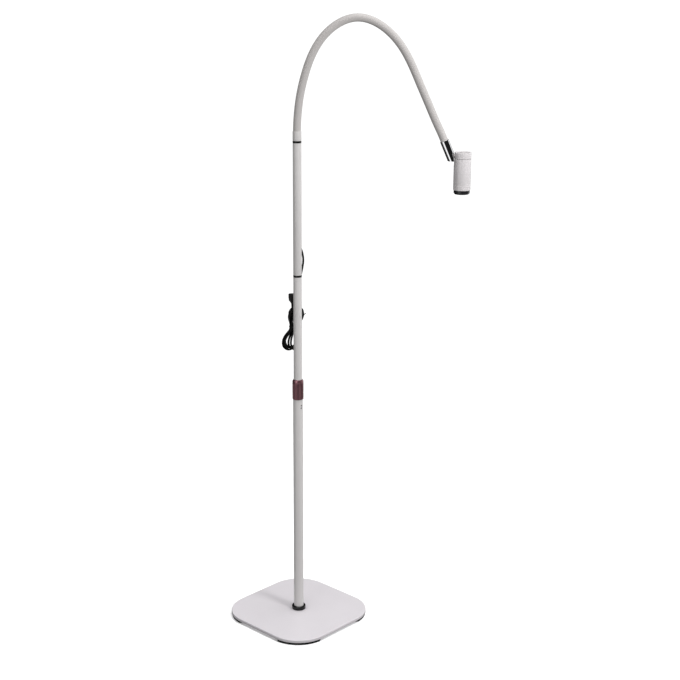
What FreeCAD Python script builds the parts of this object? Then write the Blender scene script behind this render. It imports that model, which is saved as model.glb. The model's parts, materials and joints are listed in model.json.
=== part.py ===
import FreeCAD, Part
import math
import os

os.makedirs("parts", exist_ok=True)
V = FreeCAD.Vector

# ---------------------------------------------------------------------------
# Driving dimensions, in millimetres.  +Z is up, the floor is Z = 0, the pole
# stands on the Z axis and the gooseneck reaches out along +X.
# ---------------------------------------------------------------------------
PAD_H = 6.0                 # rubber corner pads under the base
PLATE_T = 8.0               # base plate thickness
BASE_SIDE = 300.0           # base plate, side to side
BASE_R = 85.0               # base plate corner radius
BASE_YAW = 45.0             # the base's corners lie on the X and Y axes
PLATE_Z = PAD_H + PLATE_T   # top of the base plate

FLANGE_R = 18.0             # black ring round the foot of the pole
FLANGE_H = 10.0

LOW_RO, LOW_RI = 12.5, 11.3     # lower (outer) pole tube
LOW_TOP = 614.4
UP_RO, UP_RI = 10.5, 9.5        # upper (inner) pole tubes
MID_Z0, MID_Z1 = 352.0, 912.2   # middle tube, mostly inside the lower tube
RING_H = 5.1                    # black joint rings
TOP_Z0, TOP_Z1 = 917.3, 1241.5  # top tube
RING_RO = 10.7

COL_Z0, COL_Z1 = 596.4, 648.4   # twist collar
COL_RO = 14.0

FER_Z0, FER_Z1 = 1246.6, 1269.5  # ferrule that holds the foot of the gooseneck
FER_RO = 10.6

SLEEVE_R = 9.45             # gooseneck, outside
SLEEVE_RI = 6.5
CORE_R = 6.4
CORE_BORE = 3.0
BALL_GAP = 0.3              # clearance between two links at their joint
LINK_START = 7.3            # a link's sleeve starts this far past its joint

# gooseneck joints (x, z) and, between them, a point half way along each link
JOINTS = [
    (1.60, 1305.50), (17.02, 1394.54), (47.18, 1469.38), (93.13, 1517.72),
    (145.03, 1534.29), (199.01, 1516.14), (249.50, 1465.74), (290.56, 1385.71),
    (334.24, 1289.23),
]
MIDS = [
    (7.10, 1350.35), (29.43, 1433.05), (67.42, 1496.17), (117.89, 1529.84),
    (173.26, 1529.00), (226.73, 1493.43), (271.86, 1426.68), (312.39, 1337.46),
    (344.43, 1268.26),
]

CON_X, CON_Z = 354.0, 1247.0    # top of the polished connector
CON_R = 10.8
CON_FLAT_X = 377.7              # flat that faces the lamp head
CON_BOTTOM_Z = 1198.0

HEAD_X = 399.4                  # axis of the lamp head
PIVOT_Z = 1210.0                # swivel between connector and head
HEAD_R = 21.0
HEAD_BORE = 17.9                # inside of the head's barrel
HEAD_FLAT_X = 380.7             # flat on the head, towards the connector
HEAD_TOP, HEAD_BOTTOM = 1219.5, 1118.0
CAP_Z = 1204.5                  # lower edge of the cap
BEZEL_Z = 1127.5                # upper edge of the dark bezel

CORD_R = 2.5

parts = {}


# ---------------------------------------------------------------------------
# helpers
# ---------------------------------------------------------------------------
def cyl(r, z0, z1, x=0.0, y=0.0):
    return Part.makeCylinder(r, z1 - z0, V(x, y, z0), V(0, 0, 1))


def tube(ro, ri, z0, z1, x=0.0, y=0.0):
    return cyl(ro, z0, z1, x, y).cut(cyl(ri, z0 - 1, z1 + 1, x, y))


def xcyl(r, x0, x1, y, z):
    return Part.makeCylinder(r, x1 - x0, V(x0, y, z), V(1, 0, 0))


def turned(profile, x=0.0, y=0.0):
    """A closed (r, z) outline turned about a vertical axis."""
    pts = [V(x + r, y, z) for r, z in profile]
    face = Part.Face(Part.makePolygon(pts + [pts[0]]))
    return face.revolve(V(x, y, 0), V(0, 0, 1), 360)


def fillet_where(shape, radius, test):
    edges = [e for e in shape.Edges if test(e)]
    return shape.makeFillet(radius, edges)


def one_solid(shape):
    shape = shape.removeSplitter()
    if shape.ShapeType == "Solid":
        return shape
    if len(shape.Solids) == 1:
        return shape.Solids[0]
    return shape


def rounded_square(side, r, z0, z1, yaw):
    h = side / 2.0
    c = h - r
    q = r * math.sqrt(0.5)
    e = [
        Part.LineSegment(V(-c, -h, z0), V(c, -h, z0)).toShape(),
        Part.Arc(V(c, -h, z0), V(c + q, -c - q, z0), V(h, -c, z0)).toShape(),
        Part.LineSegment(V(h, -c, z0), V(h, c, z0)).toShape(),
        Part.Arc(V(h, c, z0), V(c + q, c + q, z0), V(c, h, z0)).toShape(),
        Part.LineSegment(V(c, h, z0), V(-c, h, z0)).toShape(),
        Part.Arc(V(-c, h, z0), V(-c - q, c + q, z0), V(-h, c, z0)).toShape(),
        Part.LineSegment(V(-h, c, z0), V(-h, -c, z0)).toShape(),
        Part.Arc(V(-h, -c, z0), V(-c - q, -c - q, z0), V(-c, -h, z0)).toShape(),
    ]
    s = Part.Face(Part.Wire(e)).extrude(V(0, 0, z1 - z0))
    s.rotate(V(0, 0, 0), V(0, 0, 1), yaw)
    return s


# ---------------------------------------------------------------------------
# base
# ---------------------------------------------------------------------------
plate = rounded_square(BASE_SIDE, BASE_R, PAD_H, PLATE_Z, BASE_YAW)
plate = fillet_where(plate, 2.2, lambda e: all(abs(v.Z - PLATE_Z) < 1e-6 for v in e.Vertexes))
plate = fillet_where(plate, 0.8, lambda e: all(abs(v.Z - PAD_H) < 1e-6 for v in e.Vertexes))
plate = plate.cut(cyl(4.3, 0, 30))
parts["base_plate"] = one_solid(plate)

# four curved rubber pads, one under each corner
corner_r = (BASE_SIDE / 2 - BASE_R) * math.sqrt(2)      # centre of a corner's arc
PAD_OUT, PAD_IN, PAD_HALF = 83.6, 62.0, 37.0            # radii and half angle about that centre
pads = []
for k in range(4):
    a = math.radians(90.0 * k)
    cx, cy = corner_r * math.cos(a), corner_r * math.sin(a)
    b0, b1 = a - math.radians(PAD_HALF), a + math.radians(PAD_HALF)
    rm = (PAD_OUT + PAD_IN) / 2
    w = (PAD_OUT - PAD_IN) / 2

    def p(r, t):
        return V(cx + r * math.cos(t), cy + r * math.sin(t), 0)

    def endcap(t, s):
        m = p(rm, t)
        return V(m.x - s * w * math.sin(t), m.y + s * w * math.cos(t), 0)

    wire = Part.Wire([
        Part.Arc(p(PAD_OUT, b0), p(PAD_OUT, a), p(PAD_OUT, b1)).toShape(),
        Part.Arc(p(PAD_OUT, b1), endcap(b1, 1), p(PAD_IN, b1)).toShape(),
        Part.Arc(p(PAD_IN, b1), p(PAD_IN, a), p(PAD_IN, b0)).toShape(),
        Part.Arc(p(PAD_IN, b0), endcap(b0, -1), p(PAD_OUT, b0)).toShape(),
    ])
    pad = Part.Face(wire).extrude(V(0, 0, PAD_H))
    pad = fillet_where(pad, 0.8, lambda e: all(abs(v.Z) < 1e-6 for v in e.Vertexes))
    pads.append(pad)
parts["corner_pads"] = Part.makeCompound(pads)

# bolt and washer that hold the pole down from under the plate
parts["base_washer"] = tube(12.0, 4.25, PAD_H - 1.6, PAD_H)
bolt = cyl(7.0, 1.4, PAD_H - 1.6).fuse(cyl(4.0, PAD_H - 1.6, 44.0))
hexa = Part.Face(Part.makePolygon([V(2.9 * math.cos(math.radians(60 * i)), 2.9 * math.sin(math.radians(60 * i)), 0)
                                   for i in range(7)])).extrude(V(0, 0, 3.4))
bolt = bolt.cut(hexa)
bolt = fillet_where(bolt, 0.5, lambda e: abs(e.BoundBox.ZMax - 1.4) < 1e-6 and e.BoundBox.XLength > 13)
parts["base_bolt"] = one_solid(bolt)

flange = tube(FLANGE_R, LOW_RO + 0.05, PLATE_Z, PLATE_Z + FLANGE_H)
flange = fillet_where(flange, 4.6, lambda e: abs(e.BoundBox.ZMin - PLATE_Z - FLANGE_H) < 1e-6 and e.BoundBox.XLength > 30)
flange = fillet_where(flange, 1.4, lambda e: abs(e.BoundBox.ZMax - PLATE_Z) < 1e-6 and e.BoundBox.XLength > 30)
parts["pole_flange"] = one_solid(flange)

# ---------------------------------------------------------------------------
# pole: fixed lower tube, collar and collet
# ---------------------------------------------------------------------------
parts["lower_tube"] = tube(LOW_RO, LOW_RI, PLATE_Z, LOW_TOP)
parts["tube_foot_plug"] = turned([(4.05, PLATE_Z), (11.25, PLATE_Z), (11.25, 53.0), (10.25, 54.0), (4.05, 54.0)])

collet = turned([
    (10.6, COL_Z0 - 6), (11.25, COL_Z0 - 6), (11.25, LOW_TOP), (12.4, LOW_TOP), (12.4, COL_Z0 + 21),
    (12.3, COL_Z0 + 23), (11.55, COL_Z0 + 43.5), (11.2, COL_Z0 + 46), (10.6, COL_Z0 + 46),
])
slits = [Part.makeBox(30, 1.2, 30, V(-15, -0.6, COL_Z0 + 24)), Part.makeBox(1.2, 30, 30, V(-0.6, -15, COL_Z0 + 24))]
parts["pole_collet"] = one_solid(collet.cut(Part.makeCompound(slits)))

collar = turned([
    (12.6, COL_Z0), (13.3, COL_Z0), (COL_RO, COL_Z0 + 0.7), (COL_RO, COL_Z0 + 43.4), (13.3, COL_Z0 + 43.9),
    (13.3, COL_Z0 + 45.0), (COL_RO, COL_Z0 + 45.5), (COL_RO, COL_Z0 + 47.2), (11.7, COL_Z0 + 51.4), (11.2, COL_Z1),
    (10.85, COL_Z1), (10.85, COL_Z0 + 48), (11.9, COL_Z0 + 47), (11.9, COL_Z0 + 44.6), (12.72, COL_Z0 + 23),
    (12.6, COL_Z0 + 22),
])
N_RIBS = 36
flutes = []
for k in range(N_RIBS):
    a = 2 * math.pi * (k + 0.5) / N_RIBS
    r = COL_RO + 0.35
    flutes.append(Part.makeCylinder(0.8, 39.0, V(r * math.cos(a), r * math.sin(a), COL_Z0 + 2.6), V(0, 0, 1)))
collar = collar.cut(Part.makeCompound(flutes))
parts["lock_collar"] = one_solid(collar)

# ---------------------------------------------------------------------------
# pole: sliding guide and upper tubes
# ---------------------------------------------------------------------------
parts["guide_bush"] = turned([
    (4.2, 344.0), (8.0, 344.0), (8.0, 340.0), (10.7, 340.0), (11.2, 340.5), (11.2, 371.5), (10.9, 372.0),
    (10.6, 372.0), (10.6, 351.7), (4.2, 351.7),
])
screw = turned([
    (0.0, 340.2), (7.0, 340.2), (7.0, 343.7), (4.1, 343.7), (4.1, MID_Z0), (2.95, MID_Z0), (2.95, 366.0), (0.0, 366.0),
])
screw = screw.cut(Part.makeBox(9, 1.4, 1.6, V(-4.5, -0.7, 339.9))).cut(Part.makeBox(1.4, 9, 1.6, V(-0.7, -4.5, 339.9)))
parts["guide_screw"] = one_solid(screw)
parts["tube_foot_insert"] = tube(UP_RI - 0.05, 3.0, MID_Z0, MID_Z0 + 20)
parts["middle_tube"] = tube(UP_RO, UP_RI, MID_Z0, MID_Z1)
parts["joint_stud"] = turned([
    (3.0, 887.0), (UP_RI - 0.05, 887.0), (UP_RI - 0.05, MID_Z1), (6.9, MID_Z1), (6.9, 935.0), (6.2, 936.0), (3.0, 936.0),
])
parts["joint_ring_lower"] = turned([
    (7.0, MID_Z1), (RING_RO - 0.4, MID_Z1), (RING_RO, MID_Z1 + 0.4), (RING_RO, TOP_Z0 - 0.4), (RING_RO - 0.4, TOP_Z0), (7.0, TOP_Z0),
])
parts["tube_insert_lower"] = tube(UP_RI - 0.05, 7.0, TOP_Z0, 942.0)
parts["tube_insert_upper"] = tube(UP_RI - 0.05, 7.0, 1217.0, TOP_Z1)
parts["joint_ring_upper"] = turned([
    (7.0, TOP_Z1), (RING_RO - 0.4, TOP_Z1), (RING_RO, TOP_Z1 + 0.4), (RING_RO, FER_Z0 - 0.4), (RING_RO - 0.4, FER_Z0), (7.0, FER_Z0),
])
parts["gooseneck_ferrule"] = turned([
    (3.2, 1222.0), (6.2, 1222.0), (6.9, 1223.0), (6.9, FER_Z0), (9.5, FER_Z0), (FER_RO, FER_Z0 + 0.4),
    (FER_RO, FER_Z1 - 0.5), (FER_RO - 0.3, FER_Z1), (SLEEVE_R + 0.08, FER_Z1), (SLEEVE_R + 0.08, 1253.0), (3.2, 1253.0),
])

# strain relief boot at the back of the top tube; the cord leaves along BOOT_DIR
CORD_EXIT = V(3.0, 22.5, 1000.0)
BOOT_DIR = V(0.145, 0.465, -0.873)
BOOT_DIR.normalize()
boot_root = CORD_EXIT - BOOT_DIR * 26.0
top_tube = tube(UP_RO, UP_RI, TOP_Z0, TOP_Z1)
hole = Part.makeCylinder(4.1, 19.0, boot_root - BOOT_DIR * 9.0, BOOT_DIR)
parts["top_tube"] = one_solid(top_tube.cut(hole))
boot = Part.makeCone(5.2, 3.3, 26.0, boot_root, BOOT_DIR)
collar_ring = Part.makeCylinder(6.4, 4.0, boot_root, BOOT_DIR)
boot = boot.fuse(collar_ring).cut(cyl(UP_RO + 0.02, 950, 1080))
stem = Part.makeCylinder(4.0, 12.0, boot_root - BOOT_DIR * 5.0, BOOT_DIR)
stem = stem.cut(cyl(3.5, 950, 1080))
boot = boot.fuse(stem)
for i in range(4):                      # ribs moulded round the boot's thin end
    c = CORD_EXIT - BOOT_DIR * (4.0 + 4.2 * i)
    r = 3.3 + (4.0 + 4.2 * i) / 26.0 * 1.9
    ring = Part.makeCylinder(r + 2, 1.3, c, BOOT_DIR).cut(Part.makeCylinder(r - 0.55, 1.3, c, BOOT_DIR))
    boot = boot.cut(ring)
parts["strain_relief"] = one_solid(boot)


# ---------------------------------------------------------------------------
# gooseneck: a root in the ferrule and one link past each joint
# ---------------------------------------------------------------------------
def circle_through(a, m, b):
    ax, az = a
    bx, bz = m
    cx, cz = b
    d = 2 * (ax * (bz - cz) + bx * (cz - az) + cx * (az - bz))
    ux = ((ax * ax + az * az) * (bz - cz) + (bx * bx + bz * bz) * (cz - az) + (cx * cx + cz * cz) * (az - bz)) / d
    uz = ((ax * ax + az * az) * (cx - bx) + (bx * bx + bz * bz) * (ax - cx) + (cx * cx + cz * cz) * (bx - ax)) / d
    return ux, uz


def tangent(c, p, a, b):
    """Unit tangent at p on the circle about c, pointing from a towards b."""
    t = V(p[1] - c[1], 0, -(p[0] - c[0]))
    t.normalize()
    if t.x * (b[0] - a[0]) + t.z * (b[1] - a[1]) < 0:
        t = t * -1
    return t


def bent_rod(r, a, m, b, before=0.0, after=0.0):
    """A round rod along the arc a-m-b, made longer by straight ends."""
    c = circle_through(a, m, b)
    ta, tb = tangent(c, a, a, b), tangent(c, b, a, b)
    va, vb = V(a[0] - c[0], 0, a[1] - c[1]), V(b[0] - c[0], 0, b[1] - c[1])
    ang = math.degrees(va.getAngle(vb))
    # turning +Z towards +X is a positive turn about +Y
    sense = 1 if (va.z * vb.x - va.x * vb.z) > 0 else -1
    disc = Part.Face(Part.Wire(Part.makeCircle(r, V(a[0], 0, a[1]), ta)))
    rod = disc.revolve(V(c[0], 0, c[1]), V(0, sense, 0), ang)
    if rod.Volume < 0:
        rod.reverse()
    if before:
        rod = rod.fuse(Part.makeCylinder(r, before, V(a[0], 0, a[1]) - ta * before, ta))
    if after:
        rod = rod.fuse(Part.makeCylinder(r, after, V(b[0], 0, b[1]), tb))
    return rod, ta, tb


def dome(centre, direction, r):
    """The half of a ball that lies ahead of its centre."""
    ball = Part.makeSphere(r, centre)
    half = Part.makeCylinder(r + 1, r + 1, centre, direction)
    return ball.common(half)


def link(a, m, b, start_joint, end_joint, tail=0.0):
    """The sleeve and the core of one link, from joint a to joint b."""
    A, B = V(a[0], 0, a[1]), V(b[0], 0, b[1])
    skin, ta, tb = bent_rod(SLEEVE_R, a, m, b)
    if end_joint:
        skin = skin.fuse(dome(B, tb, SLEEVE_R))
    hollow, _, _ = bent_rod(SLEEVE_RI, a, m, b, before=2.0, after=SLEEVE_R + 3)
    sleeve = skin.cut(hollow)
    core, _, _ = bent_rod(CORE_R, a, m, b, after=(SLEEVE_R + 3 if end_joint else tail))
    if end_joint:
        # the core ends in the same ball as the sleeve
        far = Part.makeCylinder(CORE_R + 1, SLEEVE_R + 6, B, tb).cut(Part.makeSphere(SLEEVE_R, B))
        core = core.cut(far)
    bore, _, _ = bent_rod(CORE_BORE, a, m, b, before=3.0, after=SLEEVE_R + 6 + tail)
    core = core.cut(bore)
    if start_joint:
        slab = Part.makeCylinder(SLEEVE_R + 3, LINK_START, A - ta * 0.0, ta)
        back = Part.makeCylinder(SLEEVE_R + 3, 6.0, A - ta * 6.0, ta)
        sleeve = sleeve.cut(slab).cut(back)
        core = core.cut(Part.makeSphere(SLEEVE_R + BALL_GAP, A))
    return sleeve, core, ta, tb


# root: upright in the ferrule, then a first slight bend up to the first joint
root_a, root_b = (0.0, FER_Z1), JOINTS[0]
root_rise = root_b[1] - root_a[1]
root_r = (root_b[0] ** 2 + root_rise ** 2) / (2 * root_b[0])      # bend radius, upright at its foot
root_half = math.asin(root_rise / root_r) / 2
root_m = (root_r * (1 - math.cos(root_half)), FER_Z1 + root_r * math.sin(root_half))
sleeve, core, ta, tb = link(root_a, root_m, root_b, False, True)
sleeve = sleeve.fuse(tube(SLEEVE_R, SLEEVE_RI, 1253.1, FER_Z1))
core = core.fuse(tube(CORE_R, CORE_BORE, 1253.1, FER_Z1))
parts["gooseneck_sleeve_root"] = one_solid(sleeve)
parts["gooseneck_core_root"] = one_solid(core)

ends = JOINTS + [(CON_X, CON_Z)]
for i in range(len(JOINTS)):
    last = i == len(JOINTS) - 1
    sleeve, core, ta, tb = link(ends[i], MIDS[i], ends[i + 1], True, not last, tail=(12.0 if last else 0.0))
    parts["gooseneck_sleeve_%02d" % (i + 1)] = one_solid(sleeve)
    parts["gooseneck_core_%02d" % (i + 1)] = one_solid(core)
print("gooseneck end direction", tb)

# ---------------------------------------------------------------------------
# polished connector and the swivel at its flat
# ---------------------------------------------------------------------------
con_dir = tb                       # it carries straight on from the gooseneck
con_top = V(CON_X, 0, CON_Z)
con = Part.makeCylinder(CON_R, 90.0, con_top, con_dir)
con = con.common(Part.makeBox(100, 60, 100, V(CON_FLAT_X - 100, -30, CON_BOTTOM_Z)))
con = fillet_where(con, 0.7, lambda e: e.BoundBox.ZMin < CON_BOTTOM_Z + 40)
con = con.cut(Part.makeCylinder(CORE_R + 0.1, 14.0, con_top - con_dir * 0.5, con_dir))
con = con.cut(Part.makeCylinder(4.0, 40.0, con_top, con_dir))
con = con.cut(xcyl(3.3, 364.0, CON_FLAT_X + 1, 0, PIVOT_Z))
parts["chrome_connector"] = one_solid(con)

parts["swivel_washer"] = xcyl(5.2, CON_FLAT_X, CON_FLAT_X + 1.1, 0, PIVOT_Z).cut(
    xcyl(3.5, CON_FLAT_X - 1, CON_FLAT_X + 5, 0, PIVOT_Z))
BOSS_X0 = CON_FLAT_X + 1.4
BOSS_X1 = 386.0
sw = xcyl(3.25, 366.5, CON_FLAT_X, 0, PIVOT_Z).fuse(xcyl(3.4, CON_FLAT_X, BOSS_X1 + 0.3, 0, PIVOT_Z))
sw = sw.fuse(xcyl(5.0, BOSS_X1 + 0.3, BOSS_X1 + 2.8, 0, PIVOT_Z)).cut(xcyl(1.7, 360, 395, 0, PIVOT_Z))
sw = sw.cut(Part.makeBox(1.2, 12, 1.2, V(BOSS_X1 + 1.9, -6, PIVOT_Z - 0.6)))
parts["swivel_screw"] = one_solid(sw)

# ---------------------------------------------------------------------------
# lamp head
# ---------------------------------------------------------------------------
cap = turned([
    (16.8, 1197.5), (HEAD_BORE - 0.1, 1197.5), (HEAD_BORE - 0.1, CAP_Z), (HEAD_R, CAP_Z), (HEAD_R, HEAD_TOP - 1.0),
    (HEAD_R - 0.3, HEAD_TOP - 0.3), (HEAD_R - 1.0, HEAD_TOP), (18.2, HEAD_TOP), (17.8, HEAD_TOP - 0.7), (6.15, HEAD_TOP - 0.7),
    (6.15, 1216.0), (17.0, 1216.0), (17.0, CAP_Z), (16.8, CAP_Z),
], x=HEAD_X)
cap = cap.cut(Part.makeBox(20, 60, 40, V(HEAD_FLAT_X - 20, -30, HEAD_TOP - 30)))
boss = xcyl(5.0, BOSS_X0, BOSS_X1, 0, PIVOT_Z)
cap = cap.fuse(boss).cut(xcyl(3.5, 370, 392, 0, PIVOT_Z))
parts["head_cap"] = one_solid(cap)

parts["power_button"] = turned([
    (0.0, 1214.2), (7.0, 1214.2), (7.0, 1215.7), (5.9, 1215.7), (5.9, HEAD_TOP - 0.3), (5.5, HEAD_TOP + 0.1), (0.0, HEAD_TOP + 0.1),
], x=HEAD_X)

groove = [(1135.0, 0.6), (1141.4, 0.6), (1145.2, 0.3)]      # height, half width
prof = [(HEAD_BORE, BEZEL_Z + 0.2), (HEAD_R - 1.8, BEZEL_Z + 0.2), (HEAD_R - 0.9, BEZEL_Z + 0.45),
        (HEAD_R - 0.25, BEZEL_Z + 1.1), (HEAD_R, BEZEL_Z + 2.0)]
for g, w in groove:
    prof += [(HEAD_R, g - w), (HEAD_R - 0.5, g - w / 2), (HEAD_R - 0.5, g + w / 2), (HEAD_R, g + w)]
prof += [(HEAD_R, 1203.4), (HEAD_R - 0.4, 1203.8), (HEAD_BORE, 1203.8)]
# the flat on the barrel runs out where it slopes down to the full radius
flat_cut = Part.Face(Part.makePolygon([
    V(HEAD_X - HEAD_R - 4, -30, 1182.0), V(HEAD_X - HEAD_R, -30, 1182.0), V(HEAD_FLAT_X, -30, 1200.0),
    V(HEAD_FLAT_X, -30, 1206.0), V(HEAD_X - HEAD_R - 4, -30, 1206.0), V(HEAD_X - HEAD_R - 4, -30, 1182.0),
])).extrude(V(0, 60, 0))
parts["head_housing"] = one_solid(turned(prof, x=HEAD_X).cut(flat_cut))

parts["front_bezel"] = turned([
    (14.6, HEAD_BOTTOM), (17.0, HEAD_BOTTOM), (18.6, HEAD_BOTTOM + 0.8), (19.6, HEAD_BOTTOM + 2.6), (19.6, BEZEL_Z),
    (HEAD_BORE - 0.1, BEZEL_Z), (HEAD_BORE - 0.1, 1142.0), (17.1, 1142.0), (17.1, 1131.0), (16.3, 1129.8), (16.3, 1123.6),
    (15.0, 1123.6),
], x=HEAD_X)

# plano-convex lens, flat side out
lens_pts = [(0.0, 1123.9)]
lens_pts += [(15.9, 1123.9), (16.1, 1124.1), (16.1, 1127.0)]
for i in range(1, 13):
    t = i / 12.0
    r = 16.1 * math.cos(t * math.pi / 2)
    lens_pts.append((r if i < 12 else 0.0, 1127.0 + 6.5 * math.sin(t * math.pi / 2)))
parts["lens"] = turned(lens_pts, x=HEAD_X)
parts["light_guide"] = turned([
    (17.0, 1133.8), (17.0, 1137.0), (6.6, 1160.6), (5.4, 1160.6), (16.0, 1136.4), (16.0, 1133.8),
], x=HEAD_X)
parts["led_chip"] = Part.makeBox(7, 7, 1.2, V(HEAD_X - 3.5, -3.5, 1160.8))
parts["led_board"] = cyl(16.5, 1162.0, 1163.6, HEAD_X)
sink = cyl(HEAD_BORE - 0.1, 1163.6, 1193.0, HEAD_X)
slots = []
for k in range(12):
    s = Part.makeBox(13.0, 2.4, 26.0, V(HEAD_X + 7.0, -1.2, 1168.0))
    s.rotate(V(HEAD_X, 0, 0), V(0, 0, 1), 15 + 30.0 * k)
    slots.append(s)
sink = sink.cut(Part.makeCompound(slots)).cut(cyl(2.0, 1160, 1200, HEAD_X))
for k in range(3):
    a = math.radians(120.0 * k + 60)
    sink = sink.fuse(cyl(1.6, 1192.0, 1195.0, HEAD_X + 14.5 * math.cos(a), 14.5 * math.sin(a)))
parts["heat_sink"] = one_solid(sink)
board = cyl(17.2, 1195.0, 1196.6, HEAD_X).cut(Part.makeBox(5, 8, 5, V(HEAD_X - 18.5, -4, 1193)))
parts["driver_board"] = one_solid(board)
parts["tactile_switch"] = Part.makeBox(7, 7, 12.6, V(HEAD_X - 3.5, -3.5, 1196.6)).fuse(
    cyl(1.7, 1209.2, 1213.0, HEAD_X))

# ---------------------------------------------------------------------------
# mains lead: free stretch, tied hank, tie and plug, all behind the pole
# ---------------------------------------------------------------------------
CORD_POINTS = [
    (3.0, 22.5, 1000.0), (5.6, 30.8, 984.4), (12.2, 34.4, 967.0), (15.2, 33.0, 947.4),
    (12.0, 29.6, 927.0), (7.0, 28.2, 906.0), (4.2, 28.6, 885.0), (4.6, 29.8, 865.0),
    (5.2, 29.2, 846.5), (4.0, 28.4, 829.0),
]


def smooth_route(points):
    """Straight runs joined by tangent arcs; returns the wire and its length."""
    P = [V(*q) for q in points]
    edges, radii = [], []
    cur = P[0]
    for i in range(1, len(P) - 1):
        u = P[i] - P[i - 1]
        w = P[i + 1] - P[i]
        lu, lw = u.Length, w.Length
        u.normalize()
        w.normalize()
        turn = u.getAngle(w)
        cut = 0.45 * min(lu, lw)
        radii.append(cut / math.tan(turn / 2))
        a = P[i] - u * cut
        b = P[i] + w * cut
        bis = (w - u)
        bis.normalize()
        R = radii[-1]
        centre = P[i] + bis * (R / math.cos(turn / 2))
        m = centre - bis * R
        edges.append(Part.LineSegment(cur, a).toShape())
        edges.append(Part.Arc(a, m, b).toShape())
        cur = b
    edges.append(Part.LineSegment(cur, P[-1]).toShape())
    wire = Part.Wire(edges)
    return wire, radii


wire, radii = smooth_route(CORD_POINTS)
first = V(*CORD_POINTS[1]) - V(*CORD_POINTS[0])
ring = Part.Wire(Part.makeCircle(CORD_R, V(*CORD_POINTS[0]), first))
cord = wire.makePipeShell([ring], True, False)
parts["power_cord"] = cord if cord.ShapeType == "Solid" else Part.Solid(cord)
print("cord radii", [round(r, 1) for r in radii])
print("cord tube length %.1f volume %.1f of %.1f" % (
    wire.Length, parts["power_cord"].Volume, math.pi * CORD_R ** 2 * wire.Length))

# outer shape of the tied hank: z, centre x, half width, centre y, half depth
HANK = [
    (829.0, -3.6, 14.6, 30.0, 10.6), (818.0, -3.4, 18.8, 30.2, 12.0), (806.0, -3.9, 20.4, 29.3, 12.2),
    (790.0, -6.5, 15.7, 29.0, 10.4), (778.0, -7.9, 12.4, 28.2, 9.6), (766.0, -10.8, 15.3, 29.0, 10.6),
    (754.0, -14.0, 22.0, 30.0, 11.6), (742.0, -15.1, 24.9, 30.0, 12.8), (730.0, -15.3, 24.4, 29.8, 13.0),
    (721.0, -14.5, 19.6, 29.8, 12.2), (715.5, -13.0, 12.0, 29.5, 7.4),
]


def oval(cx, cy, cz, a, b):
    return Part.Wire(Part.Ellipse(V(cx + a, cy, cz), V(cx, cy + b, cz), V(cx, cy, cz)).toShape())


hank = Part.makeLoft([oval(x, y, z, a, b) for z, x, a, y, b in HANK], True, True)
parts["cord_hank"] = hank if hank.ShapeType == "Solid" else Part.Solid(hank)

tie_o = Part.Face(oval(-7.9, 28.2, 776.4, 14.0, 11.2)).extrude(V(0, 0, 3.4))
tie_i = Part.Face(oval(-7.9, 28.2, 775.4, 12.8, 10.0)).extrude(V(0, 0, 6.4))
tie = tie_o.cut(tie_i)
tail_pts = [(-3.0, 17.2, 778.2), (1.0, 15.8, 781.0), (5.0, 15.2, 790.0), (9.5, 14.4, 803.0), (14.0, 13.6, 812.0), (20.8, 13.8, 816.3)]
tail_wire, tail_r = smooth_route(tail_pts)
d0 = V(*tail_pts[1]) - V(*tail_pts[0])
tail = tail_wire.makePipeShell([Part.Wire(Part.makeCircle(0.9, V(*tail_pts[0]), d0))], True, False)
tie = tie.fuse(tail.cut(tie_i))
parts["cord_tie"] = one_solid(tie)

PLUG_X, PLUG_Y = -11.3, 27.0


def rounded_rect(cx, cy, z, hx, hy, r):
    q = r * math.sqrt(0.5)
    ix, iy = hx - r, hy - r
    e = [
        Part.LineSegment(V(cx - ix, cy - hy, z), V(cx + ix, cy - hy, z)).toShape(),
        Part.Arc(V(cx + ix, cy - hy, z), V(cx + ix + q, cy - iy - q, z), V(cx + hx, cy - iy, z)).toShape(),
        Part.LineSegment(V(cx + hx, cy - iy, z), V(cx + hx, cy + iy, z)).toShape(),
        Part.Arc(V(cx + hx, cy + iy, z), V(cx + ix + q, cy + iy + q, z), V(cx + ix, cy + hy, z)).toShape(),
        Part.LineSegment(V(cx + ix, cy + hy, z), V(cx - ix, cy + hy, z)).toShape(),
        Part.Arc(V(cx - ix, cy + hy, z), V(cx - ix - q, cy + iy + q, z), V(cx - hx, cy + iy, z)).toShape(),
        Part.LineSegment(V(cx - hx, cy + iy, z), V(cx - hx, cy - iy, z)).toShape(),
        Part.Arc(V(cx - hx, cy - iy, z), V(cx - ix - q, cy - iy - q, z), V(cx - ix, cy - hy, z)).toShape(),
    ]
    return Part.Wire(e)


plug = Part.makeLoft([
    rounded_rect(PLUG_X, PLUG_Y, 829.0, 5.4, 4.6, 3.0), rounded_rect(PLUG_X, PLUG_Y, 837.0, 7.2, 5.6, 3.2),
    rounded_rect(PLUG_X, PLUG_Y, 847.0, 9.8, 7.2, 3.6), rounded_rect(PLUG_X, PLUG_Y, 857.0, 11.8, 8.6, 3.8),
    rounded_rect(PLUG_X, PLUG_Y, 862.5, 12.1, 8.9, 4.0),
], True, False)
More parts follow.
